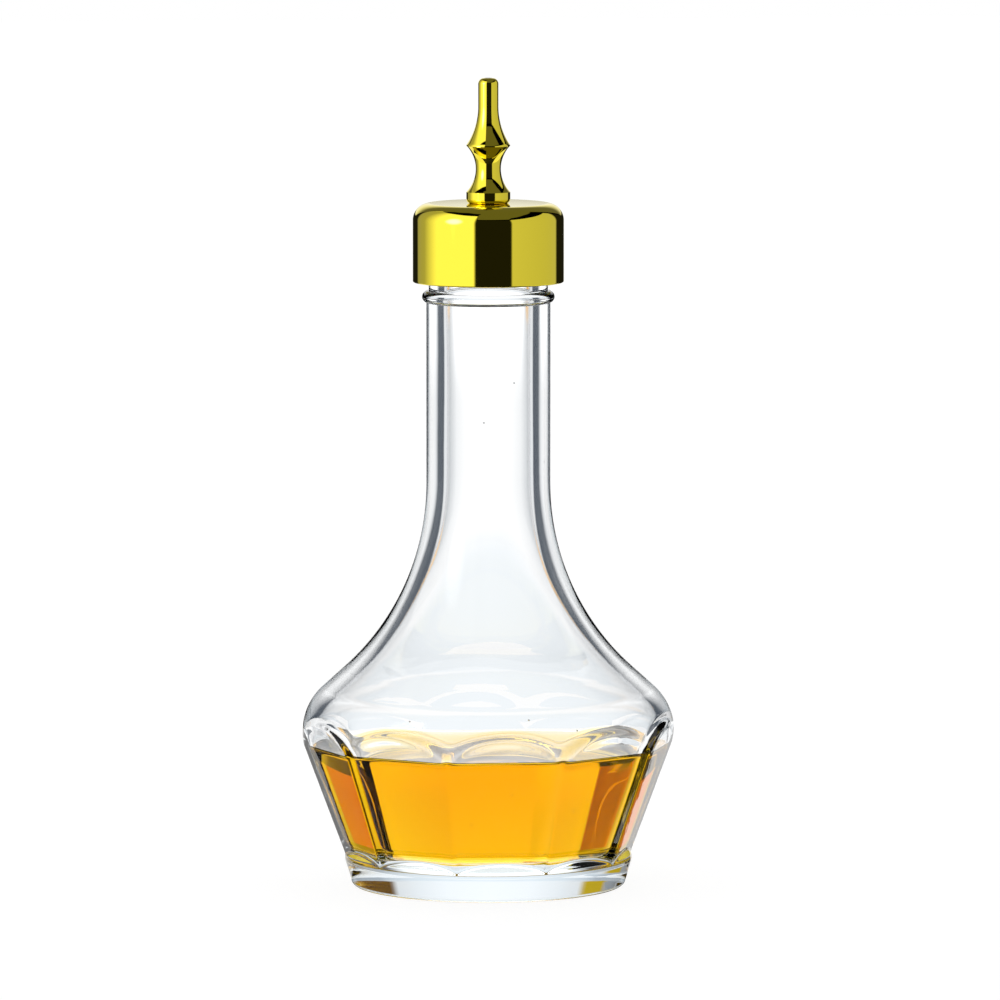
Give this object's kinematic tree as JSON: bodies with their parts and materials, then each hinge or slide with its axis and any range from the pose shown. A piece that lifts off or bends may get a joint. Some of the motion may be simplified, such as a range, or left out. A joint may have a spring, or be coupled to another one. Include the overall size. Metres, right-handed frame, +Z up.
{
  "type": "bitters bottle",
  "caption": "Panelled clear glass bitters bottle with a long neck, amber liquid and a screw-on gold dasher cap that drips through a turned finial.",
  "frame": {"origin": "centre of the bottle's round foot, on the plane it stands on", "axes": "+Z up along the bottle's axis towards the finial's tip; one flat panel faces -Y"},
  "size_m": [0.0666, 0.066, 0.1447],
  "materials": {
    "clear_glass": "fire polished",
    "amber_liquid": "clear amber liquid",
    "gold_plate": "polished gold plate",
    "liner_plastic": "moulded",
    "seal_rubber": "moulded silicone",
    "nut_brass": "machined"
  },
  "bodies": {
    "bottle": {"glass_bottle": "clear_glass", "bitters_fill": "amber_liquid"},
    "seal": {"sealing_gasket": "seal_rubber"},
    "dasher_cap": {"cap_shell": "gold_plate", "cap_liner": "liner_plastic", "dasher_finial": "gold_plate", "finial_washer": "seal_rubber", "finial_nut": "nut_brass"}
  },
  "joints": [
    {"name": "cap_lift", "type": "slide", "parent": "bottle", "child": "seal", "axis": [0, 0, 1], "range_m": [0, 0.00565]},
    {"name": "cap_turn", "type": "hinge", "parent": "seal", "child": "dasher_cap", "pos_m": [0, 0, 0.1153], "axis": [0, 0, 1], "range_deg": [0, 640]}
  ],
  "couplings": [
    {"joint": "cap_lift", "follows": "cap_turn", "m_per_rad": 0.00050532}
  ]
}
